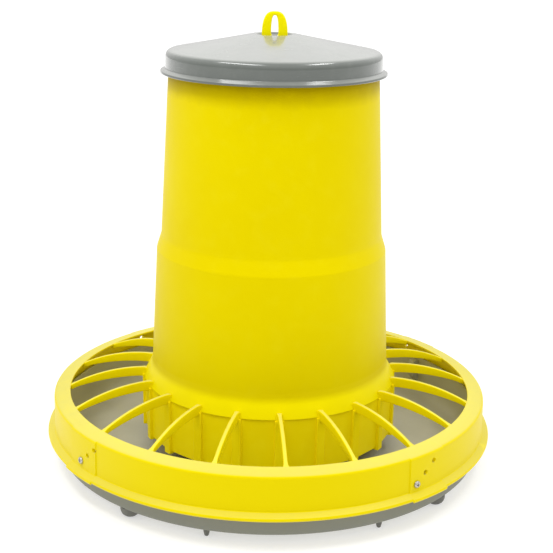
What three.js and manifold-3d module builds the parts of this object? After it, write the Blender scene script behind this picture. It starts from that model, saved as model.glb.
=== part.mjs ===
// Gravity poultry feeder: a tapered hopper stands on a collar with a round feeding grille, and feed runs
// out under the collar's skirt into a pan that hangs on four screws inside the grille's rim. A loose lid
// slides up past the hanging eye. Millimetres, +Z up, the origin on the ground at the centre.
// Angles are in degrees round +Z, 0 at the front (-Y) and growing towards +X. Outlines of turned pieces
// are [radius, height] pairs, with heights from the datum: the lower outer edge of the pan.
import * as THREE from "three";
import { mergeVertices } from "three/addons/utils/BufferGeometryUtils.js";
import Module from "manifold-3d";

// ---- driving dimensions ----
const FOOT_HEIGHT = 13; // ground to the datum
const WALL = 2.6; // usual thickness of the mouldings
const GAP = 0.3; // left between pieces that touch
const SIDES = 60; // segments of a full turn
const QUARTERS = [0, 1, 2, 3];

const SPOKES = 20;
const SPOKE_PITCH = 360 / SPOKES;
const SPOKE_FIRST = 4.5;
const SPOKE_THICK = 4.6;
const SPOKE_CROWN = 89.8; // top of a spoke where it leaves the collar
const SPOKE_CROWN_RADIUS = 147;
const SPOKE_ROOT_DEPTH = 11.4;
const SPOKE_UPPER_ARC = 186; // radii of a spoke's arched edges
const SPOKE_LOWER_ARC = 247;

const RIM_OUTER = 251.6; // the rim's upright band
const RIM_INNER = 233; // inner edge of its top flange
const RIM_TOP = 69.6;
const RIM_SHOULDER = 66.2; // height where the top flange rounds over into the band
const SHOULDER_RADIUS = 4;
const FLANGE_OUTER = 260; // the flared flange under the band
const FLANGE_LOW = 23.6;
const FLANGE_ROOT = 28;
const RIM_ARCS = ["rim_right_front", "rim_right_rear", "rim_left_rear", "rim_left_front"];
const RIM_ARC_FIRST = SPOKE_FIRST + SPOKE_PITCH / 2;
const PADS = [[35.6, 47], [122.6, 134], [215.6, 227], [302.6, 314]]; // one on each arc
const PAD_PROUD = 1.2; // the pads stand out of the band by this much

const COLLAR_OUTER = 147.4;
const COLLAR_LOW = 81.5;
const COLLAR_WAIST = [137.8, 99.5]; // where its cone bends up into the hopper's side
const COLLAR_HIGH = 108;
const NECK_TOP = 140; // the collar's neck stands inside the hopper
const SKIRT_INNER = 142.4;
const SKIRT_PANEL = 146;
const SKIRT_RIB = 149.3;
const SKIRT_RIB_HALF = 1.9; // half the angle that a rib takes
const SKIRT_LOW = 21.2;
const SKIRT_TAB = 2.4; // the ribs reach this much lower than the panels

const HOPPER_WALL = 2.4;
const HOPPER_BASE = [136.95, COLLAR_HIGH + GAP]; // outer radius and height
const HOPPER_STEP_LOW = [130.8, 236];
const HOPPER_STEP_HIGH = [125.6, 253.5];
const HOPPER_TOP = [115.3, 454.2];

const LID_RADIUS = 119.5;
const LID_WALL = 2.2;
const LID_PEAK = 480.6; // where the dome's straight side would meet the axis
const LID_SLOPE = 0.2; // fall of the dome for each millimetre outwards
const LID_SEAT = [17, 473]; // a round recess about the eye: radius and height
const LID_SHOULDER = 7; // radius of the rounded shoulder
const BRIM_ROOT = 438; // the brim flares out of the lid's side
const BRIM_OUTER = 125.3;
const BRIM_LOW = 433.9;
const BRIM_THICK = 1.7;
const SLOT_CLEARANCE = 0.8;

const EYE_HALF_WIDTH = 14.2;
const EYE_THICK = 6.6;
const EYE_BASE = 473;
const EYE_TOP = 499.7;
const EYE_HOLE_HALF = 3.9;
const EYE_HOLE_LOW = 472.5;
const EYE_HOLE_TOP = 495.6;
const BAR_TOP = 446;
const BAR_HEIGHT = 20;
const BAR_THICK = 8;
const TONGUE_TOP = 442; // the bar's ends stand in slots of the hopper's wall
const TONGUE_HEIGHT = 13;
const TONGUE_CLEARANCE = 0.4;

const PAN_WALL_OUTER = 246.4;
const PAN_WALL_TOP = 47;
const PAN_FLOOR = 0.3; // the floor's upper face
const PAN_BEND = 20; // radius of the curve from the floor up into the wall
const PAN_DRAFT = 0.2; // the wall leans out by this much from its foot to its top
const PAN_CORNER = 6; // radius of the outer lower corner
const CONE_FOOT = 137;
const CONE_HEIGHT = 88;
const CONE_TIP = 9;

const SCREW_FIRST = 37.7;
const SCREW_STEP = 90;
const SCREW_HEIGHT = 36;
const SPARE_HOLES = [[2.9, 45.8], [5.7, 56]]; // angle past the screw, and height
const HOLE_RADIUS = 3;
const SHANK_RADIUS = 2.1;
const HEAD_RADIUS = 4;
const HEAD_HEIGHT = 2.8;
const BOSS_INNER = 233;
const BOSS_THICK = 9;

const FOOT_FIRST = 51.6;
const FOOT_CIRCLE = 233.5;
const FOOT_RADIUS = 10.8;
const FOOT_FLAT = 4;
const FOOT_ROUND = 70; // degrees of arc in a foot's side
const PEG_ANGLES = [-21.5, -67]; // from each foot
const PEG_RADIUS = 4.6;
const PEG_TIP = 2.1;

// ---- finishes ----
const finish = (color, roughness, metalness) => () =>
  new THREE.MeshStandardMaterial({ color, roughness, metalness });
const yellow = finish(0xe4d203, 0.42, 0);
const panGrey = finish(0x87877a, 0.5, 0);
const lidGrey = finish(0x9a9b96, 0.28, 0);
const steel = finish(0xb4b1ac, 0.35, 0.9);

// ---- geometry helpers ----
const wasm = await Module();
wasm.setup();
const rad = THREE.MathUtils.degToRad;

// A closed geometry as a manifold solid.
function solid(geometry) {
  const bare = geometry.clone();
  bare.deleteAttribute("normal");
  bare.deleteAttribute("uv");
  const merged = mergeVertices(bare, 1e-4);
  return new wasm.Manifold(new wasm.Mesh({
    numProp: 3,
    vertProperties: new Float32Array(merged.attributes.position.array),
    triVerts: new Uint32Array(merged.index.array),
  }));
}

// A manifold solid as a geometry.
function geometryOf(made) {
  const mesh = made.getMesh();
  const geometry = new THREE.BufferGeometry();
  geometry.setAttribute("position", new THREE.BufferAttribute(new Float32Array(mesh.vertProperties), 3));
  geometry.setIndex(new THREE.BufferAttribute(new Uint32Array(mesh.triVerts), 1));
  geometry.computeVertexNormals();
  return geometry;
}

// One geometry with others cut out of it, or joined to it.
const cut = (geometry, others) =>
  geometryOf(others.reduce((left, other) => left.subtract(solid(other)), solid(geometry)));
const join = (geometry, others) =>
  geometryOf(others.reduce((left, other) => left.add(solid(other)), solid(geometry)));

// A full turn of an outline, which runs anticlockwise with the axis on its left.
function turned(outline, sides = SIDES) {
  const points = outline.map(([r, z]) => new THREE.Vector2(r, z));
  if (outline[0][0] > 0) points.push(points[0].clone());
  return new THREE.LatheGeometry(points, sides).rotateX(Math.PI / 2);
}

// Part of a turn of a closed outline, from one angle over a sweep, with flat ends.
function sector(outline, from, sweep) {
  const sides = Math.round((SIDES * sweep) / 360) || 1;
  const ends = THREE.ShapeUtils.triangulateShape(outline.map(([r, z]) => new THREE.Vector2(r, z)), []);
  const count = outline.length;
  const last = sides * count;
  const places = [];
  const faces = [];
  for (let i = 0; i <= sides; i++) {
    const angle = rad(from + (sweep * i) / sides);
    for (const [r, z] of outline) places.push(r * Math.sin(angle), -r * Math.cos(angle), z);
  }
  for (let i = 0; i < sides; i++)
    for (let j = 0; j < count; j++) {
      const a = i * count + j;
      const b = i * count + ((j + 1) % count);
      faces.push(a, a + count, b, b, a + count, b + count);
    }
  for (const [a, b, c] of ends) faces.push(a, b, c, last + a, last + c, last + b);
  const geometry = new THREE.BufferGeometry();
  geometry.setAttribute("position", new THREE.Float32BufferAttribute(places, 3));
  geometry.setIndex(faces);
  return geometry;
}

// Points on an arc of an outline, from one angle to another.
function arc(r, z, radius, from, to, steps) {
  return Array.from({ length: steps + 1 }, (_, i) => {
    const angle = rad(from + ((to - from) * i) / steps);
    return [r + radius * Math.cos(angle), z + radius * Math.sin(angle)];
  });
}

// A flat outline with holes, made thick evenly to both sides.
function plate(outline, thickness, holes = []) {
  const path = (points) => points.map(([x, y]) => new THREE.Vector2(x, y));
  const shape = new THREE.Shape(path(outline));
  holes.forEach((hole) => shape.holes.push(new THREE.Path(path(hole))));
  return new THREE.ExtrudeGeometry(shape, { depth: thickness, bevelEnabled: false })
    .translate(0, 0, -thickness / 2);
}

// A plate whose outline is in [radius, height], stood on end along a radius.
const radialPlate = (outline, thickness, angle) =>
  plate(outline, thickness).rotateX(Math.PI / 2).rotateZ(rad(angle - 90));

// A round bar along a radius.
const radialBar = (radius, from, to, angle, height, sides = 12) =>
  new THREE.CylinderGeometry(radius, radius, to - from, sides)
    .rotateZ(Math.PI / 2)
    .translate((from + to) / 2, 0, height)
    .rotateZ(rad(angle - 90));

// Moves a piece from the axis out to a radius and an angle.
const standAt = (geometry, radius, angle) => geometry.translate(0, -radius, 0).rotateZ(rad(angle));

// ---- the assembly ----
const feeder = new THREE.Group();
const datum = new THREE.Group();
datum.position.z = FOOT_HEIGHT;
feeder.add(datum);

function add(name, geometry, material) {
  const mesh = new THREE.Mesh(geometry, material());
  mesh.name = name;
  datum.add(mesh);
}

const screwAngle = (k) => SCREW_FIRST + k * SCREW_STEP;

// The pan: a flat floor, a wall that curves up from it and stands inside the rim, and a cone in the middle.
function addPan() {
  const under = PAN_FLOOR - WALL;
  const foot = PAN_WALL_OUTER - PAN_DRAFT;
  const inner = foot - WALL + 0.8;
  const floorEdge = inner - PAN_BEND;
  add("pan_floor", turned([
    [CONE_FOOT + GAP, under],
    [floorEdge - GAP, under],
    [floorEdge - GAP, PAN_FLOOR],
    [CONE_FOOT + GAP, PAN_FLOOR],
  ]), panGrey);
  const wall = turned([
    [floorEdge, under],
    ...arc(foot - PAN_CORNER, under + PAN_CORNER, PAN_CORNER, -90, 0, 4),
    [PAN_WALL_OUTER, PAN_WALL_TOP],
    [PAN_WALL_OUTER - WALL, PAN_WALL_TOP],
    [inner, PAN_FLOOR + PAN_BEND],
    ...arc(floorEdge, PAN_FLOOR + PAN_BEND, PAN_BEND, -15, -90, 5),
  ]);
  const holes = QUARTERS.map((k) =>
    radialBar(HOLE_RADIUS, inner - 4, foot + 6, screwAngle(k), SCREW_HEIGHT));
  add("pan_wall", cut(wall, holes), panGrey);
  add("spreading_cone", turned([
    [CONE_FOOT - 4, under],
    [CONE_FOOT, under],
    [CONE_FOOT, PAN_FLOOR],
    ...arc(0, CONE_HEIGHT - CONE_TIP, CONE_TIP, 33, 90, 2),
    [0, CONE_HEIGHT - WALL],
    [CONE_TIP * 0.6, CONE_HEIGHT - WALL - 3],
  ]), panGrey);
}

// Upright bosses inside the pan wall, which the screws cut into.
function addBosses() {
  const back = PAN_WALL_OUTER - PAN_DRAFT - WALL - GAP;
  const foot = PAN_FLOOR + PAN_BEND + 1;
  for (const k of QUARTERS) {
    const boss = radialPlate([
      [BOSS_INNER + 4, foot],
      [back, foot],
      [back, SCREW_HEIGHT + 8],
      [BOSS_INNER + 3, SCREW_HEIGHT + 8],
      [BOSS_INNER, SCREW_HEIGHT + 5],
      [BOSS_INNER, foot + 3],
    ], BOSS_THICK, screwAngle(k));
    const bore = radialBar(HOLE_RADIUS, BOSS_INNER + 2, back + 4, screwAngle(k), SCREW_HEIGHT);
    add(`screw_boss_${k + 1}`, cut(boss, [bore]), panGrey);
  }
}

// Round feet and tapered pegs under the pan, all down to the ground.
function addFeet() {
  const top = PAN_FLOOR - WALL - GAP;
  const drop = top + FOOT_HEIGHT;
  const cosine = Math.cos(rad(FOOT_ROUND));
  const side = arc(0, 0, 1, -FOOT_ROUND, 0, 4).map(([c, s]) => [
    FOOT_FLAT + ((FOOT_RADIUS - FOOT_FLAT) * (c - cosine)) / (1 - cosine),
    top + (s / Math.sin(rad(FOOT_ROUND))) * drop,
  ]);
  const pegSide = [[PEG_TIP, -FOOT_HEIGHT], [PEG_RADIUS, top]];
  for (const k of QUARTERS) {
    const angle = FOOT_FIRST + k * 90;
    const foot = turned([[0, -FOOT_HEIGHT], ...side, [0, top]], 16);
    add(`foot_${k + 1}`, standAt(foot, FOOT_CIRCLE, angle), panGrey);
    PEG_ANGLES.forEach((past, i) => {
      const peg = turned([[0, -FOOT_HEIGHT], ...pegSide, [0, top]], 12);
      add(`peg_${2 * k + i + 1}`, standAt(peg, FOOT_CIRCLE, angle + past), panGrey);
    });
  }
}

// The grille's rim, in four arcs with a screw pad on each: top flange, upright band, flared flange.
function addRim() {
  const inside = RIM_OUTER - WALL;
  const lip = 2.2; // thickness of the flared flange
  const outline = (proud) => [
    [inside, FLANGE_ROOT - lip],
    [FLANGE_OUTER + proud - 0.8, FLANGE_LOW - proud - lip],
    [FLANGE_OUTER + proud, FLANGE_LOW - proud],
    [RIM_OUTER + proud, FLANGE_ROOT],
    ...arc(RIM_OUTER + proud - SHOULDER_RADIUS, RIM_SHOULDER - SHOULDER_RADIUS, SHOULDER_RADIUS, 0, 78, 3),
    [RIM_INNER, RIM_TOP],
    [RIM_INNER, RIM_TOP - WALL],
    [inside, RIM_SHOULDER - SHOULDER_RADIUS],
  ];
  RIM_ARCS.forEach((name, k) => {
    const sweep = 90;
    const joint = 0.04; // half the gap between two arcs, in degrees
    const band = sector(outline(0), RIM_ARC_FIRST + k * sweep + joint, sweep - 2 * joint);
    const [start, end] = PADS[k];
    const pad = sector(outline(PAD_PROUD), start, end - start);
    const holes = [[0, SCREW_HEIGHT], ...SPARE_HOLES].map(([past, height]) =>
      radialBar(HOLE_RADIUS, inside - 6, RIM_OUTER + 8, screwAngle(k) + past, height));
    add(name, cut(join(band, [pad]), holes), yellow);
  });
}

// Twenty arched blades between the collar and the rim.
function addSpokes() {
  const steps = 6;
  const start = SKIRT_RIB + GAP;
  const end = RIM_INNER - 2 * GAP;
  const edge = (crown, radius) => Array.from({ length: steps + 1 }, (_, i) => {
    const r = start + ((end - start) * i) / steps;
    return [r, crown - radius + Math.sqrt(radius ** 2 - (r - SPOKE_CROWN_RADIUS) ** 2)];
  });
  const lower = edge(SPOKE_CROWN - SPOKE_ROOT_DEPTH, SPOKE_LOWER_ARC);
  const outline = [...lower, ...edge(SPOKE_CROWN, SPOKE_UPPER_ARC).reverse()];
  for (let k = 0; k < SPOKES; k++) {
    const spoke = radialPlate(outline, SPOKE_THICK, SPOKE_FIRST + k * SPOKE_PITCH);
    add(`spoke_${String(k + 1).padStart(2, "0")}`, spoke, yellow);
  }
}

// The collar flares out under the hopper, and its neck stands inside it.
function addCollar() {
  const neck = HOPPER_BASE[0] - HOPPER_WALL - GAP - 0.5;
  const neckTop = neck - (NECK_TOP - COLLAR_HIGH) * 0.0475;
  const inner = neck - WALL;
  add("collar", turned([
    [SKIRT_INNER, COLLAR_LOW],
    [COLLAR_OUTER, COLLAR_LOW],
    COLLAR_WAIST,
    [HOPPER_BASE[0], COLLAR_HIGH],
    [neck, COLLAR_HIGH],
    [neckTop, NECK_TOP],
    [neckTop - WALL, NECK_TOP],
    [inner, COLLAR_HIGH - 2],
    [COLLAR_WAIST[0] - WALL, COLLAR_WAIST[1] - 1],
  ]), yellow);
}

// The skirt under the collar: flat panels between upright ribs, one rib under each spoke.
function addSkirt() {
  const circle = (radius) => Array.from({ length: SIDES / 2 }, (_, i) => {
    const angle = rad(SPOKE_FIRST + (i * 720) / SIDES);
    return [radius * Math.sin(angle), -radius * Math.cos(angle)];
  });
  const corners = (radius, centre) => [-1, 1].map((side) => {
    const angle = rad(centre + side * SKIRT_RIB_HALF);
    return [radius * Math.sin(angle), -radius * Math.cos(angle)];
  });
  const outline = Array.from({ length: SPOKES }, (_, k) => {
    const centre = SPOKE_FIRST + k * SPOKE_PITCH;
    const [a, d] = corners(SKIRT_PANEL + 0.6, centre);
    const [b, c] = corners(SKIRT_RIB, centre);
    return [a, b, c, d];
  }).flat();
  const height = COLLAR_LOW - GAP - SKIRT_LOW;
  const ring = plate(outline, height, [circle(SKIRT_INNER)]).translate(0, 0, SKIRT_LOW + height / 2);
  const tabs = Array.from({ length: SPOKES }, (_, k) => {
    const centre = SPOKE_FIRST + k * SPOKE_PITCH;
    const [a, d] = corners(SKIRT_INNER + 1, centre);
    const [b, c] = corners(SKIRT_RIB, centre);
    return plate([a, b, c, d], SKIRT_TAB + 2).translate(0, 0, SKIRT_LOW - SKIRT_TAB / 2 + 1);
  });
  add("skirt", join(ring, tabs), yellow);
}

// The hopper: a tapered tube with a rounded step in its side, open at both ends.
function addHopper() {
  const wall = HOPPER_WALL;
  const inwards = ([r, z]) => [r - wall, z];
  const side = [HOPPER_BASE, HOPPER_STEP_LOW, HOPPER_STEP_HIGH, HOPPER_TOP];
  const tube = turned([...side, ...side.map(inwards).reverse()]);
  const tongueSlot = new THREE.BoxGeometry(
    2 * HOPPER_BASE[0], BAR_THICK + 2 * TONGUE_CLEARANCE, TONGUE_HEIGHT + 2 * TONGUE_CLEARANCE,
  ).translate(0, 0, TONGUE_TOP - TONGUE_HEIGHT / 2);
  add("hopper", cut(tube, [tongueSlot]), yellow);
}

// The hanger: a bar across the hopper's mouth, and the eye that stands on it and passes through the lid.
function addHanger() {
  const inside = HOPPER_TOP[0] - HOPPER_WALL - GAP;
  const reach = HOPPER_TOP[0] + 0.3;
  const tongueLow = TONGUE_TOP - TONGUE_HEIGHT;
  const half = [
    [inside, BAR_TOP],
    [inside, TONGUE_TOP],
    [reach, TONGUE_TOP],
    [reach, tongueLow],
    [inside, tongueLow],
    [inside - 8, BAR_TOP - BAR_HEIGHT],
  ];
  const outline = [...half, ...half.map(([x, z]) => [-x, z]).reverse()];
  add("hanger_bar", plate(outline, BAR_THICK).rotateX(Math.PI / 2), yellow);

  // An arch that is squarer in its shoulders than half an ellipse.
  const arch = (halfWidth, low, top, steps) => Array.from({ length: steps + 1 }, (_, i) => {
    const turn = (Math.PI * i) / steps;
    const side = Math.sign(Math.cos(turn)) * Math.abs(Math.cos(turn)) ** 0.68;
    return [halfWidth * side, low + (top - low) * Math.sin(turn) ** 0.85];
  });
  const outer = [[-EYE_HALF_WIDTH, BAR_TOP + GAP], [EYE_HALF_WIDTH, BAR_TOP + GAP],
    ...arch(EYE_HALF_WIDTH, EYE_BASE, EYE_TOP, 14)];
  const hole = arch(EYE_HOLE_HALF, EYE_HOLE_LOW, EYE_HOLE_TOP, 10);
  add("hanging_eye", plate(outer, EYE_THICK, [hole]).rotateX(Math.PI / 2), yellow);
}

// The lid: a shallow dome with a rounded shoulder, a short side and a flared brim, and a slot for the eye.
function addLid() {
  const shoulder = LID_RADIUS - LID_SHOULDER;
  const shoulderTop = LID_PEAK - LID_SLOPE * shoulder;
  const [seat, seatHeight] = LID_SEAT;
  const dome = (drop) => [
    [seat + 7, LID_PEAK - LID_SLOPE * (seat + 7) - drop],
    [seat + 3, seatHeight + 2.4 - drop],
    [seat, seatHeight - drop],
    [0, seatHeight - drop],
  ];
  const round = (drop, from, to) =>
    arc(shoulder, shoulderTop - LID_SHOULDER, LID_SHOULDER - drop, from, to, 2);
  const lid = turned([
    ...dome(LID_WALL).reverse(),
    ...round(LID_WALL, 90, 0),
    [LID_RADIUS - LID_WALL, BRIM_ROOT - BRIM_THICK],
    [BRIM_OUTER - 0.4, BRIM_LOW],
    [BRIM_OUTER, BRIM_LOW + BRIM_THICK],
    [LID_RADIUS + 0.5, BRIM_ROOT + 0.2],
    ...round(0, 0, 90),
    ...dome(0),
  ]);
  const slot = new THREE.BoxGeometry(
    2 * (EYE_HALF_WIDTH + SLOT_CLEARANCE), EYE_THICK + 2 * SLOT_CLEARANCE, 40,
  ).translate(0, 0, seatHeight);
  add("lid", cut(lid, [slot]), lidGrey);
}

// Four pan-head screws, from the pads through the pan's wall into its bosses.
function addScrews() {
  const seat = RIM_OUTER + PAD_PROUD + GAP;
  const tip = BOSS_INNER + 3;
  for (const k of QUARTERS) {
    const screw = turned([
      [0, tip],
      [SHANK_RADIUS, tip + 3],
      [SHANK_RADIUS, seat],
      [HEAD_RADIUS, seat],
      [HEAD_RADIUS, seat + HEAD_HEIGHT * 0.4],
      [HEAD_RADIUS * 0.6, seat + HEAD_HEIGHT],
      [0, seat + HEAD_HEIGHT],
    ], 12);
    screw.rotateX(Math.PI / 2).translate(0, 0, SCREW_HEIGHT).rotateZ(rad(screwAngle(k)));
    add(`screw_${k + 1}`, screw, steel);
  }
}

addPan();
addBosses();
addFeet();
addRim();
addSpokes();
addCollar();
addSkirt();
addHopper();
addHanger();
addLid();
addScrews();

export default feeder;
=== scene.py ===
"""Gravity poultry feeder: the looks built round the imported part.

Outlines are in millimetres: a radius from the upright axis and a height above the datum, the lower
outer edge of the pan. Angles are in degrees round the axis, 0 at the front and growing towards +X.
"""

import math

import bmesh
import bpy
from mathutils import Matrix, Vector


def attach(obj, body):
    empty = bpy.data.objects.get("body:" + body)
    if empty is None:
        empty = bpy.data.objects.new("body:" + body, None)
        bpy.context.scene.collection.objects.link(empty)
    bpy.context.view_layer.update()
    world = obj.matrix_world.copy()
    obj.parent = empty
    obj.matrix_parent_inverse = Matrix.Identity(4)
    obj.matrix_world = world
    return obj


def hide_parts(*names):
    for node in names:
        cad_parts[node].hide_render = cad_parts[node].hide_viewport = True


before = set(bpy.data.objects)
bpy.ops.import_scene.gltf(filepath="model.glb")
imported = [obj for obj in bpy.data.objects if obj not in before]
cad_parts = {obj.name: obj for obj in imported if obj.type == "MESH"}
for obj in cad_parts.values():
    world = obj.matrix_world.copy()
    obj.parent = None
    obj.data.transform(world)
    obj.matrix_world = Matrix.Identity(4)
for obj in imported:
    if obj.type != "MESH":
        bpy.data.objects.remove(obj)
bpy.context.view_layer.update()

MM = 0.001
DATUM = 13.0  # height of the datum above the ground
QUARTERS = range(4)

SPOKES = 20
SPOKE_PITCH = 360 / SPOKES
SPOKE_FIRST = 4.5
SPOKE_CROWN = 89.8
SPOKE_CROWN_RADIUS = 147.0
SPOKE_ROOT_DEPTH = 11.4
SPOKE_UPPER_ARC = 186.0
SPOKE_LOWER_ARC = 247.0
RIM_OUTER = 251.6
RIM_INNER = 233.0
RIM_TOP = 69.6
PADS = [(35.6, 47.0), (122.6, 134.0), (215.6, 227.0), (302.6, 314.0)]
PAD_PROUD = 1.2
SKIRT_RIB = 149.3
SKIRT_PANEL = 146.0
SCREW_FIRST = 37.7
HOLE_RADIUS = 3.0
SCREW_HEIGHT = 36.0
SPARE_HOLES = [(2.9, 45.8), (5.7, 56.0)]
FOOT_FIRST = 51.6
FOOT_CIRCLE = 233.5
PEG_ANGLES = (-21.5, -67.0)

# where the painted shade on the plastic begins and is full, in metres
OUTER_SHADE_FACING = (0.02, 0.08)  # the radius times how far the face is turned outward, from 0 to 1
OUTER_SHADE_REACH = (0.2, 0.21)  # the radius
BRIM_SHADOW_HEIGHTS = (0.422, 0.446)  # the height above the ground

# the camera, fitted to the photograph's outlines
CAMERA_PLACE = (0, -1.338, 0.6134)
CAMERA_PITCH = 16.707
CAMERA_YAW = 0.279
CAMERA_ROLL = 0.977
CAMERA_LENS = 78.52

LIGHTS_AIM = (0, 0, 0.35)


# ---- materials ----
class Nodes:
    """A small helper that adds nodes to a tree and links them."""

    def __init__(self, tree):
        self.tree = tree

    def add(self, kind, inputs=None, **settings):
        node = self.tree.nodes.new(kind)
        for key, value in settings.items():
            setattr(node, key, value)
        for key, value in (inputs or {}).items():
            if isinstance(value, bpy.types.NodeSocket):
                self.tree.links.new(value, node.inputs[key])
            else:
                node.inputs[key].default_value = value
        return node

    def noise(self, vector, scale, detail=3.0, roughness=0.5):
        inputs = {"Vector": vector, "Scale": scale, "Detail": detail, "Roughness": roughness}
        return self.add("ShaderNodeTexNoise", inputs).outputs["Fac"]

    def ranged(self, value, low, high, to_low, to_high):
        inputs = {"Value": value, "From Min": low, "From Max": high,
                  "To Min": to_low, "To Max": to_high}
        return self.add("ShaderNodeMapRange", inputs).outputs["Result"]

    def maths(self, operation, a, b):
        return self.add("ShaderNodeMath", {0: a, 1: b}, operation=operation).outputs[0]

    def vector(self, operation, *vectors):
        inputs = dict(enumerate(vectors))
        return self.add("ShaderNodeVectorMath", inputs, operation=operation).outputs

    def mixed(self, factor, a, b):
        return self.add("ShaderNodeMix", {0: factor, 6: a, 7: b}, data_type="RGBA").outputs[2]


def linear(red, green, blue):
    """An sRGB colour of 0 to 255 as linear RGBA."""
    def one(c):
        c /= 255
        return c / 12.92 if c <= 0.04045 else ((c + 0.055) / 1.055) ** 2.4
    return (one(red), one(green), one(blue), 1.0)


def plastic(name, base, deep, pale, rough, tint, grain, shine=0.5, gloss=0.0, dust=0.0, faded=None,
            turned_up=(0.72, 0.98), soiled=None, grimed=None):
    """A moulded plastic: mottled colour, pale worn edges, fine grain, hairline scratches, uneven gloss.

    The colour for faces turned up to the light is a painted highlight, and turned_up is the range of
    the normal's upward part over which it comes in. The colour for the outside is a painted shade on
    faces turned outward, far from the axis. The colour for the hopper's top is the painted shadow of
    the lid's brim.
    """
    material = bpy.data.materials.new(name)
    material.use_nodes = True
    tree = material.node_tree
    tree.nodes.clear()
    n = Nodes(tree)
    place = n.add("ShaderNodeTexCoord").outputs["Object"]
    cloud = n.noise(place, 7.0, 4.0, 0.55)
    mottle = n.noise(place, 60.0, 3.0, 0.6)
    colour = n.mixed(n.ranged(cloud, 0.35, 0.68, 0.0, 0.55), base, deep)
    colour = n.mixed(n.ranged(mottle, 0.5, 0.8, 0.0, 0.22), colour, pale)
    if dust:
        specks = n.ranged(n.noise(place, 520.0, 2.0, 0.5), 0.66, 0.74, 0.0, dust)
        colour = n.mixed(specks, colour, linear(205, 200, 178))
    surface = n.add("ShaderNodeNewGeometry").outputs
    # Painted shade: faces turned outward, far from the axis, are darkened.
    if soiled:
        flat = n.vector("MULTIPLY", place, (1.0, 1.0, 0.0))[0]
        reach = n.vector("LENGTH", flat)["Value"]
        outward = n.vector("DOT_PRODUCT", flat, surface["Normal"])["Value"]
        turned_out = n.ranged(outward, *OUTER_SHADE_FACING, 0.0, 1.0)
        far_out = n.ranged(reach, *OUTER_SHADE_REACH, 0.0, 1.0)
        colour = n.mixed(n.maths("MULTIPLY", turned_out, far_out), colour, soiled)
    # Painted highlight: faces turned up are made paler, in patches.
    if faded:
        facing = n.add("ShaderNodeSeparateXYZ", {"Vector": surface["Normal"]}).outputs["Z"]
        upward = n.ranged(facing, *turned_up, 0.0, 0.85)
        patchy = n.ranged(mottle, 0.3, 0.7, 0.85, 1.0)
        colour = n.mixed(n.maths("MULTIPLY", upward, patchy), colour, faded)
    # Painted shadow of the lid's brim: a band at the hopper's top is darkened.
    if grimed:
        level = n.add("ShaderNodeSeparateXYZ", {"Vector": place}).outputs["Z"]
        uneven = n.maths("ADD", level, n.ranged(mottle, 0.3, 0.7, -0.002, 0.002))
        colour = n.mixed(n.ranged(uneven, *BRIM_SHADOW_HEIGHTS, 0.0, 0.8), colour, grimed)
    edge = n.ranged(surface["Pointiness"], 0.53, 0.62, 0.0, 0.35)
    worn = n.maths("MULTIPLY", edge, n.ranged(mottle, 0.35, 0.65, 0.2, 1.0))
    colour = n.mixed(worn, colour, pale)

    stretch = n.add("ShaderNodeMapping", {"Vector": place, "Scale": (26.0, 26.0, 900.0)}).outputs[0]
    scratch = n.ranged(n.noise(stretch, 1.0, 2.0, 0.7), 0.62, 0.7, 0.0, 1.0)
    stipple = n.noise(place, 1500.0, 2.0, 0.55)
    waves = n.noise(place, 22.0, 2.0, 0.4)
    roughness = n.ranged(cloud, 0.3, 0.7, rough - 0.04, rough + 0.05)
    roughness = n.maths("ADD", roughness, n.maths("MULTIPLY", scratch, 0.06))
    grains = n.maths("MULTIPLY", stipple, grain)
    relief = n.maths("ADD", grains, n.maths("MULTIPLY", scratch, -0.3 * grain))
    fine = n.add("ShaderNodeBump", {"Height": relief, "Strength": 0.5, "Distance": 0.0002}).outputs[0]
    broad = {"Height": waves, "Normal": fine, "Strength": 0.12, "Distance": 0.001}
    normal = n.add("ShaderNodeBump", broad).outputs[0]
    shader = n.add("ShaderNodeBsdfPrincipled", {
        "Base Color": colour, "Roughness": roughness, "Normal": normal,
        "IOR": 1.5, "Specular IOR Level": shine, "Specular Tint": tint,
        "Coat Weight": gloss, "Coat Roughness": 0.08,
    })
    n.add("ShaderNodeOutputMaterial", {"Surface": shader.outputs[0]})
    return material


def metal(name):
    """Zinc-plated steel, a little dull."""
    material = bpy.data.materials.new(name)
    material.use_nodes = True
    tree = material.node_tree
    tree.nodes.clear()
    n = Nodes(tree)
    place = n.add("ShaderNodeTexCoord").outputs["Object"]
    cloud = n.noise(place, 420.0, 4.0, 0.6)
    colour = n.mixed(n.ranged(cloud, 0.35, 0.7, 0.0, 1.0), linear(206, 202, 196), linear(150, 146, 140))
    roughness = n.ranged(cloud, 0.3, 0.7, 0.26, 0.46)
    normal = n.add("ShaderNodeBump", {
        "Height": n.noise(place, 1800.0, 2.0, 0.5), "Strength": 0.3, "Distance": 0.0001,
    }).outputs[0]
    shader = n.add("ShaderNodeBsdfPrincipled", {
        "Base Color": colour, "Roughness": roughness, "Normal": normal, "Metallic": 1.0,
    })
    n.add("ShaderNodeOutputMaterial", {"Surface": shader.outputs[0]})
    return material


def yellow_plastic(name, red, green, shine, **painted_light):
    """The feeder's yellow, from the red and green of its usual shade."""
    deep = linear(red - 6, green - 9, 0)
    pale = linear(red + 3, green + 7, 30)
    tint = (1.0, 0.9, 0.05, 1.0)
    # The keyword colours passed on are painted highlight and painted shade.
    return plastic(name, linear(red, green, 0), deep, pale, 0.42, tint, 0.5, shine=shine, **painted_light)


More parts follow.
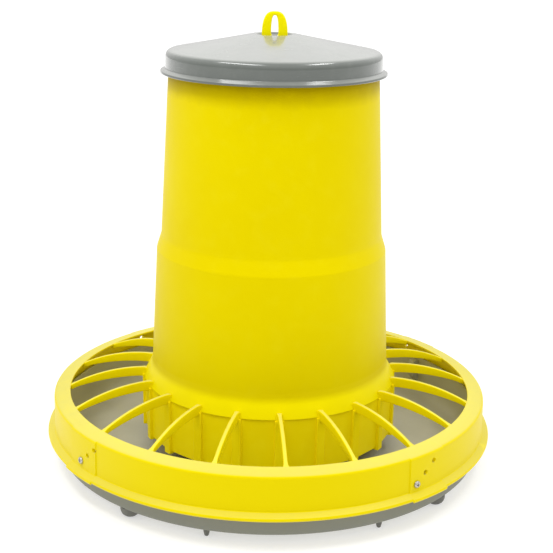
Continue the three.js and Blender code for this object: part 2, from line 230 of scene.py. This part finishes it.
white = (1.0, 1.0, 1.0, 1.0)
# One yellow plastic in lit and shaded copies: the rim, skirt and eye are painted lighter than the bars,
# and the hopper and collar darker. The bars' upward faces carry a painted highlight.
yellow = yellow_plastic("yellow_moulding", 238, 220, 0.3, faded=linear(206, 197, 94))
# The rim: painted highlight on its upward faces, painted shade on its outside.
yellow_rim = yellow_plastic("yellow_rim", 246, 228, 0.35,
                            faded=linear(201, 193, 96), soiled=linear(216, 197, 0))
# The hopper: painted shadow of the lid's brim at its top.
yellow_tube = yellow_plastic("yellow_hopper", 215, 197, 0.06, grimed=linear(156, 130, 0))
# The collar: painted highlight over its upward slope.
yellow_collar = yellow_plastic("yellow_collar", 215, 197, 0.15,
                               faded=linear(226, 211, 0), turned_up=(0.06, 0.42))
yellow_skirt = yellow_plastic("yellow_skirt", 251, 231, 0.15)
yellow_eye = yellow_plastic("yellow_eye", 251, 240, 0.7)
# The pan: painted shade on its outside.
pan_grey = plastic("grey_pan", linear(170, 168, 150), linear(160, 158, 140), linear(182, 180, 164),
                   0.5, white, 0.6, dust=0.25, soiled=linear(120, 121, 109))
# The feet are the pan's grey painted darker, a painted shade for the shadow under the pan.
foot_grey = plastic("grey_feet", linear(102, 102, 95), linear(88, 88, 82), linear(122, 122, 114),
                    0.5, white, 0.6)
# The lid: painted highlight on its upward faces.
lid_grey = plastic("grey_lid", linear(90, 95, 90), linear(82, 87, 82), linear(116, 120, 115),
                   0.2, white, 0.12, gloss=0.85, faded=linear(138, 141, 136))
steel = metal("screw_steel")


# ---- shapes ----
def finish(name, mesh, material, body, nodes, sharp):
    """Makes the piece: smooth faces, edges sharper than an angle kept, its body and its CAD nodes."""
    for polygon in mesh.polygons:
        polygon.use_smooth = True
    mesh.set_sharp_from_angle(angle=math.radians(sharp))
    mesh.materials.append(material)
    piece = bpy.data.objects.new(name, mesh)
    bpy.context.scene.collection.objects.link(piece)
    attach(piece, body)
    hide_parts(*nodes)
    return piece


def made(name, points, faces):
    """A mesh in metres from points in millimetres above the datum, merged and facing out."""
    mesh = bpy.data.meshes.new(name)
    mesh.from_pydata([(x * MM, y * MM, (z + DATUM) * MM) for x, y, z in points], [], faces)
    work = bmesh.new()
    work.from_mesh(mesh)
    bmesh.ops.remove_doubles(work, verts=work.verts, dist=1e-6)
    bmesh.ops.dissolve_degenerate(work, edges=work.edges, dist=1e-7)
    bmesh.ops.recalc_face_normals(work, faces=work.faces)
    if work.calc_volume(signed=True) < 0:
        bmesh.ops.reverse_faces(work, faces=work.faces)
    work.to_mesh(mesh)
    work.free()
    return mesh


def rounded(corners, steps=5):
    """A closed outline of (r, z) or (r, z, radius) corners, with those that state a radius rounded."""
    outline = []
    count = len(corners)
    for i, corner in enumerate(corners):
        point = Vector(corner[:2])
        radius = corner[2] if len(corner) > 2 else 0
        back = Vector(corners[i - 1][:2]) - point
        ahead = Vector(corners[(i + 1) % count][:2]) - point
        turn = back.angle(ahead) if radius and back.length and ahead.length else math.pi
        if not radius or turn > 3.1:
            outline.append(tuple(point))
            continue
        reach = min(radius / math.tan(turn / 2), 0.49 * back.length, 0.49 * ahead.length)
        start = point + back.normalized() * reach
        end = point + ahead.normalized() * reach
        for j in range(steps + 1):
            t = j / steps
            outline.append(tuple(start * (1 - t) ** 2 + point * 2 * t * (1 - t) + end * t ** 2))
    return outline


def around(name, columns):
    """A full turn from (angle, outline) columns whose outlines are closed and of one length."""
    points = []
    faces = []
    size = len(columns[0][1])
    for angle, outline in columns:
        s, c = math.sin(math.radians(angle)), math.cos(math.radians(angle))
        points += [(r * s, -r * c, z) for r, z in outline]
    for i in range(len(columns)):
        a, b = i * size, ((i + 1) % len(columns)) * size
        for j in range(size):
            k = (j + 1) % size
            faces.append((a + j, b + j, b + k, a + k))
    return made(name, points, faces)


def lathe(name, outline, sides=192):
    """A full turn of one outline."""
    return around(name, [(360 * i / sides, outline) for i in range(sides)])


def loft(name, sections, turn=0.0):
    """A closed skin over rings of points, with its ends capped, turned round the axis."""
    size = len(sections[0])
    matrix = Matrix.Rotation(math.radians(turn), 3, "Z")
    points = [tuple(matrix @ Vector(p)) for ring in sections for p in ring]
    faces = []
    for i in range(len(sections) - 1):
        for j in range(size):
            k = (j + 1) % size
            faces.append((i * size + j, i * size + k, (i + 1) * size + k, (i + 1) * size + j))
    faces.append(tuple(range(size)))
    faces.append(tuple((len(sections) - 1) * size + j for j in range(size)))
    return made(name, points, faces)


def block(half_width, low, high, radius, steps=4):
    """A rounded rectangle as (across, z) points."""
    return rounded([(-half_width, low, radius), (half_width, low, radius),
                    (half_width, high, radius), (-half_width, high, radius)], steps)


def carve(piece, cutters):
    """Cuts closed meshes out of a piece for good."""
    helpers = []
    for cutter in cutters:
        helper = bpy.data.objects.new("cutter", cutter)
        bpy.context.scene.collection.objects.link(helper)
        change = piece.modifiers.new("cut", "BOOLEAN")
        change.operation = "DIFFERENCE"
        change.solver = "EXACT"
        change.object = helper
        helpers.append(helper)
    bpy.context.view_layer.update()
    evaluated = piece.evaluated_get(bpy.context.evaluated_depsgraph_get())
    mesh = bpy.data.meshes.new_from_object(evaluated)
    piece.modifiers.clear()
    piece.data = mesh
    for helper in helpers:
        bpy.data.objects.remove(helper)


def rod(radius, start, end, angle, height, sides=28):
    """A closed round bar along a radius, as a mesh."""
    rings = []
    for r in (start, end):
        turns = [2 * math.pi * i / sides for i in range(sides)]
        rings.append([(radius * math.cos(t), -r, height + radius * math.sin(t)) for t in turns])
    return loft("rod", rings, angle)


def pad_share(angle):
    """How far the pad at this angle stands out, from 0 to 1, with short steep ends."""
    ramp = 0.22
    share = 0.0
    for start, end in PADS:
        inside = min(angle - start, end - angle)
        share = max(share, min(1.0, max(0.0, inside / ramp + 0.5)))
    return share


# ---- the grille ----
def make_rim():
    """The round rim: a top flange, an upright band, a flared lower flange and four screw pads."""
    def outline(share):
        proud = share * PAD_PROUD
        wall = RIM_OUTER + proud
        return rounded([
            (249.0, 24.6, 0.5),
            (258.8 + proud, 20.6 - proud, 0.6),
            (260.0 + proud, 22.6 - proud, 0.7),
            (259.2 + proud, 24.4 - proud, 0.6),
            (wall + 0.5, 28.2 - 0.3 * proud, 1.6),
            (wall, 66.6, 3.8),
            (RIM_INNER, RIM_TOP, 0.9),
            (RIM_INNER, RIM_TOP - 2.6, 0.9),
            (249.0, 64.0, 2.0),
        ], 4)
    angles = {round(360 * i / 240, 3) for i in range(240)}
    for start, end in PADS:
        for edge in (start, end):
            angles |= {round(edge + step, 3) for step in (-0.16, -0.11, -0.04, 0.04, 0.11, 0.16)}
    mesh = around("rim", [(a, outline(pad_share(a))) for a in sorted(angles)])
    rim = finish("rim", mesh, yellow_rim, "feeder",
                 ["rim_right_front", "rim_right_rear", "rim_left_rear", "rim_left_front"], 28)
    cutters = []
    for k in QUARTERS:
        screw = SCREW_FIRST + 90 * k
        for past, height in [(0, SCREW_HEIGHT)] + SPARE_HOLES:
            cutters.append(rod(HOLE_RADIUS, 243, 262, screw + past, height))
    carve(rim, cutters)


def make_bars():
    """Twenty arched bars, thickened where they run into the collar and the rim."""
    def arch(r, crown, radius):
        return crown - radius + math.sqrt(radius ** 2 - (r - SPOKE_CROWN_RADIUS) ** 2)
    low_end, high_end, steps = 142.0, 236.0, 40
    root_end, root_drop = 146.0, 145.5
    half_width, root_swell, tip_swell = 2.1, 1.1, 1.6
    radii = [low_end + (high_end - low_end) * i / steps for i in range(steps + 1)]
    sections = []
    for r in radii:
        top = arch(r, SPOKE_CROWN, SPOKE_UPPER_ARC)
        low = arch(r, SPOKE_CROWN - SPOKE_ROOT_DEPTH, SPOKE_LOWER_ARC)
        root = math.exp(-max(0.0, r - root_end) / 2.2)
        tip = math.exp(-max(0.0, RIM_INNER - 0.6 - r) / 2.0)
        half = half_width + root_swell * root + tip_swell * tip
        low -= 1.8 * root + 0.9 * tip
        if r < root_drop:
            top -= 0.5 * (root_drop - r) ** 1.5
        if r > RIM_INNER:
            top = min(top, RIM_TOP - 0.35)
            low = max(low, RIM_TOP - 6.4)
        sections.append([(x, -r, z) for x, z in block(half, low, top, 1.3)])
    for k in range(SPOKES):
        name = f"bar_{k + 1:02d}"
        mesh = loft(name, sections, SPOKE_FIRST + k * SPOKE_PITCH)
        finish(name, mesh, yellow, "feeder", [f"spoke_{k + 1:02d}"], 50)


def make_collar():
    """The flared collar with its neck inside the hopper."""
    outline = rounded([
        (142.5, 81.4, 0.4),
        (147.4, 81.4, 0.9),
        (137.5, 99.6, 38.0),
        (136.95, 109.0),
        (133.8, 109.0),
        (132.0, 140.0, 0.8),
        (129.4, 140.0, 0.8),
        (131.0, 106.0, 4.0),
    ], 8)
    mesh = lathe("collar", outline)
    finish("collar", mesh, yellow_collar, "feeder", ["collar"], 40)


def make_skirt():
    """The skirt: twenty flat panels between upright ribs that reach a little lower."""
    columns = []
    half = SPOKE_PITCH / 2
    rib = 1.9  # half of a rib's width, in degrees
    inside, top = 142.6, 81.6
    panel_low, shoulder_low, rib_low = 21.2, 18.8, 18.6
    shoulder = SKIRT_RIB - 0.5
    side = [(rib, SKIRT_PANEL, panel_low), (rib - 0.02, shoulder, panel_low),
            (rib - 0.04, shoulder, shoulder_low), (rib - 0.25, SKIRT_RIB, rib_low)]
    flat = SKIRT_PANEL * math.cos(math.radians(half - rib))
    for k in range(SPOKES):
        centre = SPOKE_FIRST + k * SPOKE_PITCH
        stations = [(-past, radius, low) for past, radius, low in side]
        stations += [(0.0, SKIRT_RIB, rib_low)] + side[::-1]
        for i in range(1, 8):
            past = rib + (SPOKE_PITCH - 2 * rib) * i / 8
            stations.append((past, flat / math.cos(math.radians(past - half)), panel_low))
        for past, radius, low in stations:
            columns.append((centre + past, [
                (inside, low), (radius - 0.6, low), (radius, low + 0.6), (radius, top), (inside, top),
            ]))
    mesh = around("skirt", columns)
    finish("skirt", mesh, yellow_skirt, "feeder", ["skirt"], 25)


# ---- the hopper, its hanger and its lid ----
def make_hopper():
    """The tapered barrel with a rounded step in its side."""
    wall = 2.4
    side = [(136.98, 108.6, 0.3), (130.85, 236.5, 10.0), (125.65, 252.8, 16.0), (115.3, 454.2, 0.6)]
    inner = [(r - wall, z, radius) for r, z, radius in side]
    outline = rounded(side + inner[::-1], 8)
    mesh = lathe("hopper", outline, 256)
    hopper = finish("hopper", mesh, yellow_tube, "feeder", ["hopper"], 40)
    slots = []
    for turn in (90, -90):
        ring = block(4.3, 428.6, 442.4, 0.8)
        slots.append(loft("slot", [[(x, -r, z) for x, z in ring] for r in (105, 125)], turn))
    carve(hopper, slots)


def make_hanger():
    """The bar across the hopper's mouth, and the eye that stands on it."""
    side = [(104.0, 426.0, 446.0), (111.0, 428.6, 446.0), (112.2, 429.2, 442.8),
            (113.0, 429.2, 441.8), (115.4, 429.2, 441.8)]
    stations = [(-r, low, high) for r, low, high in side[::-1]] + side
    sections = [[(r, y, z) for y, z in block(3.9, low, high, 1.2)] for r, low, high in stations]
    mesh = loft("hanger_bar", sections)
    finish("hanger_bar", mesh, yellow, "feeder", ["hanger_bar"], 30)

    steps = 72
    arch_end, leg_end, part = 0.6, 0.8, 0.2  # shares of the way round: the arch, a leg, then the foot
    half, foot, spring, crown = 14.2, 446.3, 474.0, 499.7
    slot_half, slot_spring, slot_crown, slot_bowl = 3.9, 476.0, 495.6, 3.6
    back = 3.3  # half of the eye's thickness

    def arch(wide, low, top, turn):
        across = math.copysign(abs(math.cos(turn)) ** 0.68, math.cos(turn))
        return wide * across, low + (top - low) * max(0.0, math.sin(turn)) ** 0.85

    outer = []
    inner = []
    for i in range(steps):
        t = i / steps
        if t < arch_end:
            turn = math.pi * t / arch_end
            outer.append(arch(half, spring, crown, turn))
            inner.append(arch(slot_half, slot_spring, slot_crown, turn))
        elif t < leg_end:
            share = (t - arch_end) / part
            outer.append((-half, spring + (foot - spring) * share))
            inner.append((-slot_half + slot_half * share, slot_spring - slot_bowl * min(1, 3 * share)))
        else:
            share = (t - leg_end) / part
            if share < 0.5:
                outer.append((-half + 2 * half * share, foot))
            else:
                outer.append((half, foot + (spring - foot) * (share - 0.5) * 2))
            inner.append((slot_half * share, slot_spring - slot_bowl * min(1, 3 * (1 - share))))
    sections = []
    for o, i in zip(outer, inner):
        a, b = Vector(o), Vector(i)
        length = (b - a).length
        ring = []
        corners = [(0, -back, 1.3), (length, -back, 1.3), (length, back, 1.3), (0, back, 1.3)]
        for along, y in rounded(corners, 4):
            point = a + (b - a) * (along / length)
            ring.append((point.x, y, point.y))
        sections.append(ring)
    size = len(sections[0])
    points = [p for ring in sections for p in ring]
    faces = []
    for s in range(steps):
        n = (s + 1) % steps
        for j in range(size):
            k = (j + 1) % size
            faces.append((s * size + j, n * size + j, n * size + k, s * size + k))
    mesh = made("hanging_eye", points, faces)
    finish("hanging_eye", mesh, yellow_eye, "feeder", ["hanging_eye"], 45)


def make_lid():
    """The lid: a shallow dome with a seat round the eye, a rounded shoulder and a flared brim."""
    wall = 2.2

    def dome(r):
        return 480.6 - 0.2 * r

    outline = rounded([
        (0, 473.0),
        (17.2, 473.0, 1.6),
        (20.4, 475.6, 3.0),
        (26.0, dome(26.0), 6.0),
        (70.0, dome(70.0)),
        (119.5, dome(117.0), 8.5),
        (119.6, 439.0, 1.8),
        (124.8, 436.2, 0.9),
        (125.3, 434.2, 0.4),
        (124.6, 433.6, 0.4),
        (118.0, 436.6, 1.5),
        (117.3, dome(117.0) - wall, 6.4),
        (70.0, dome(70.0) - wall),
        (26.0, dome(26.0) - wall, 6.0),
        (21.0, 473.2, 3.0),
        (17.4, 470.8, 1.6),
        (0, 470.8),
    ], 10)
    lid = finish("lid", lathe("lid", outline, 256), lid_grey, "lid", ["lid"], 40)
    ring = block(15.0, -4.1, 4.1, 1.5)
    carve(lid, [loft("slot", [[(x, y, z) for x, y in ring] for z in (465, 480)])])


# ---- the pan ----
def make_pan():
    """The pan: a cone that spreads the feed, a flat floor and a wall that curves up from it."""
    outline = rounded([
        (0, 88.0),
        (5.0, 86.4, 5.0),
        (136.6, 0.3, 5.0),
        (243.4, 0.3, 22.0),
        (243.8, 47.0, 0.8),
        (246.4, 47.0, 0.8),
        (246.2, -2.3, 6.5),
        (134.0, -2.3, 2.0),
        (5.0, 82.6, 4.0),
        (0, 84.4),
    ], 10)
    pan = finish("pan", lathe("pan", outline, 256), pan_grey, "feeder",
                 ["pan_floor", "pan_wall", "spreading_cone"], 40)
    carve(pan, [rod(HOLE_RADIUS, 238, 252, SCREW_FIRST + 90 * k, SCREW_HEIGHT) for k in QUARTERS])


def make_bosses():
    """The upright bosses that the screws cut into."""
    back = 244.2
    fronts = [(16.0, 241.0), (19.0, 238.5), (22.0, 235.0), (25.0, 233.4),
              (40.0, 233.2), (43.2, 234.4), (44.0, 236.0)]
    sections = [[(x, -r, z) for x, r in block(4.5, front, back, 1.0)] for z, front in fronts]
    for k in QUARTERS:
        name = f"screw_boss_{k + 1}"
        mesh = loft(name, sections, SCREW_FIRST + 90 * k)
        boss = finish(name, mesh, pan_grey, "feeder", [name], 35)
        carve(boss, [rod(2.9, 236, 250, SCREW_FIRST + 90 * k, SCREW_HEIGHT)])


def make_feet():
    """Round feet and small tapered pegs under the pan."""
    top, tip = -1.6, -DATUM
    foot = [(0, tip), (3.6, tip), (6.4, -12.2), (8.8, -10.2), (10.2, -7.6), (10.8, -5.0),
            (10.8, top), (0, top)]
    peg = [(0, tip), (1.5, tip), (2.3, -12.2), (3.2, -8.4), (4.2, top + 0.2), (4.2, top), (0, top)]
    for k in QUARTERS:
        angle = FOOT_FIRST + 90 * k
        places = [(f"foot_{k + 1}", foot, angle, 28)]
        for i, past in enumerate(PEG_ANGLES):
            places.append((f"peg_{2 * k + i + 1}", peg, angle + past, 16))
        for name, outline, at, sides in places:
            mesh = lathe(name, outline, sides)
            turn = math.radians(at)
            place = (FOOT_CIRCLE * MM * math.sin(turn), -FOOT_CIRCLE * MM * math.cos(turn), 0)
            mesh.transform(Matrix.Translation(place))
            finish(name, mesh, foot_grey, "feeder", [name], 35)


def make_screws():
    """Pan-head screws with a cross recess."""
    seat = RIM_OUTER + PAD_PROUD + 0.1
    shank, head = 2.1, 4.0
    outline = [(0, 236.5), (1.0, 237.0), (shank, 240.0), (shank, seat), (3.7, seat),
               (head, seat + 0.4), (head, seat + 1.2), (3.5, seat + 2.1), (2.5, seat + 2.6),
               (1.2, seat + 2.8), (0, seat + 2.8)]
    for k in QUARTERS:
        name = f"screw_{k + 1}"
        mesh = lathe(name, outline, 32)
        mesh.transform(Matrix.Translation((0, 0, -DATUM * MM)))
        mesh.transform(Matrix.Rotation(math.radians(90), 4, "X"))
        mesh.transform(Matrix.Translation((0, 0, (SCREW_HEIGHT + DATUM) * MM)))
        turn = Matrix.Rotation(math.radians(SCREW_FIRST + 90 * k), 4, "Z")
        screw_slots = []
        for wide, tall in ((2.4, 0.5), (0.5, 2.4)):
            ring = [(-wide, -tall), (wide, -tall), (wide, tall), (-wide, tall)]
            sections = []
            for r, share in ((seat + 1.0, 0.45), (seat + 3.4, 1.0)):
                sections.append([(x * share, -r, SCREW_HEIGHT + z * share) for x, z in ring])
            screw_slots.append(loft("recess", sections))
        screw = finish(name, mesh, steel, "feeder", [name], 40)
        carve(screw, screw_slots)
        screw.data.transform(turn)


make_rim()
make_bars()
make_collar()
make_skirt()
make_hopper()
make_hanger()
make_lid()
make_pan()
make_bosses()
make_feet()
make_screws()


# ---- floor, light and camera ----
def make_floor():
    """A pale floor that glows a little, so its shadows stay soft and light."""
    mesh = bpy.data.meshes.new("floor")
    half = 16.0
    corners = [(-half, -half, 0), (half, -half, 0), (half, half, 0), (-half, half, 0)]
    mesh.from_pydata(corners, [], [(0, 1, 2, 3)])
    material = bpy.data.materials.new("floor")
    material.use_nodes = True
    shader = material.node_tree.nodes["Principled BSDF"]
    shader.inputs["Base Color"].default_value = (0.55, 0.55, 0.548, 1)
    shader.inputs["Emission Color"].default_value = (1, 1, 1, 1)
    shader.inputs["Emission Strength"].default_value = 0.5
    shader.inputs["Roughness"].default_value = 0.8
    shader.inputs["Specular IOR Level"].default_value = 0.1
    mesh.materials.append(material)
    floor = bpy.data.objects.new("floor", mesh)
    bpy.context.scene.collection.objects.link(floor)


def softbox(name, place, size, power):
    """A wide flat lamp that points at the feeder."""
    light = bpy.data.lights.new(name, "AREA")
    light.shape = "RECTANGLE"
    light.size, light.size_y = size
    light.energy = power
    lamp = bpy.data.objects.new(name, light)
    lamp.location = place
    lamp.rotation_euler = (Vector(LIGHTS_AIM) - Vector(place)).to_track_quat("-Z", "Y").to_euler()
    bpy.context.scene.collection.objects.link(lamp)


def make_world():
    """A studio: pale all round, brightest high behind the feeder and dimmer in front."""
    world = bpy.data.worlds.new("studio")
    world.use_nodes = True
    tree = world.node_tree
    tree.nodes.clear()
    n = Nodes(tree)
    way = n.add("ShaderNodeTexCoord").outputs["Generated"]
    parts = n.add("ShaderNodeSeparateXYZ", {"Vector": way}).outputs
    back = n.ranged(parts["Y"], -0.7, 0.35, 0.0, 1.0)
    height = n.ranged(parts["Z"], 0.0, 0.6, 0.0, 1.0)
    front_light = n.ranged(height, 0.0, 1.0, 0.45, 1.25)
    back_light = n.ranged(height, 0.0, 1.0, 0.7, 1.35)
    mix = {0: back, 2: front_light, 3: back_light}
    strength = n.add("ShaderNodeMix", mix, data_type="FLOAT").outputs[0]
    shader = n.add("ShaderNodeBackground", {"Color": (1.0, 0.995, 0.985, 1), "Strength": strength})
    n.add("ShaderNodeOutputWorld", {"Surface": shader.outputs[0]})
    bpy.context.scene.world = world


def make_camera():
    """A camera at a height, tilted down, turned a little to the side and rolled."""
    pitch, yaw, roll = (math.radians(a) for a in (CAMERA_PITCH, CAMERA_YAW, CAMERA_ROLL))
    right0 = Vector((math.cos(yaw), -math.sin(yaw), 0))
    ahead0 = Vector((math.sin(yaw), math.cos(yaw), 0))
    ahead = math.cos(pitch) * ahead0 - math.sin(pitch) * Vector((0, 0, 1))
    up0 = math.sin(pitch) * ahead0 + math.cos(pitch) * Vector((0, 0, 1))
    right = math.cos(roll) * right0 + math.sin(roll) * up0
    up = -math.sin(roll) * right0 + math.cos(roll) * up0
    data = bpy.data.cameras.new("camera")
    data.sensor_width = 36.0
    data.lens = CAMERA_LENS
    data.clip_end = 60.0
    camera = bpy.data.objects.new("camera", data)
    turn = Matrix((right, up, -ahead)).transposed()
    camera.matrix_world = Matrix.Translation(CAMERA_PLACE) @ turn.to_4x4()
    bpy.context.scene.collection.objects.link(camera)
    bpy.context.scene.camera = camera


make_floor()
make_world()
softbox("overhead_left", (-0.84, -0.66, 2.3), (1.4, 0.36), 19)
softbox("overhead_right", (1.03, -0.15, 2.3), (0.9, 0.36), 12)
make_camera()
bpy.context.scene.view_settings.view_transform = "Standard"
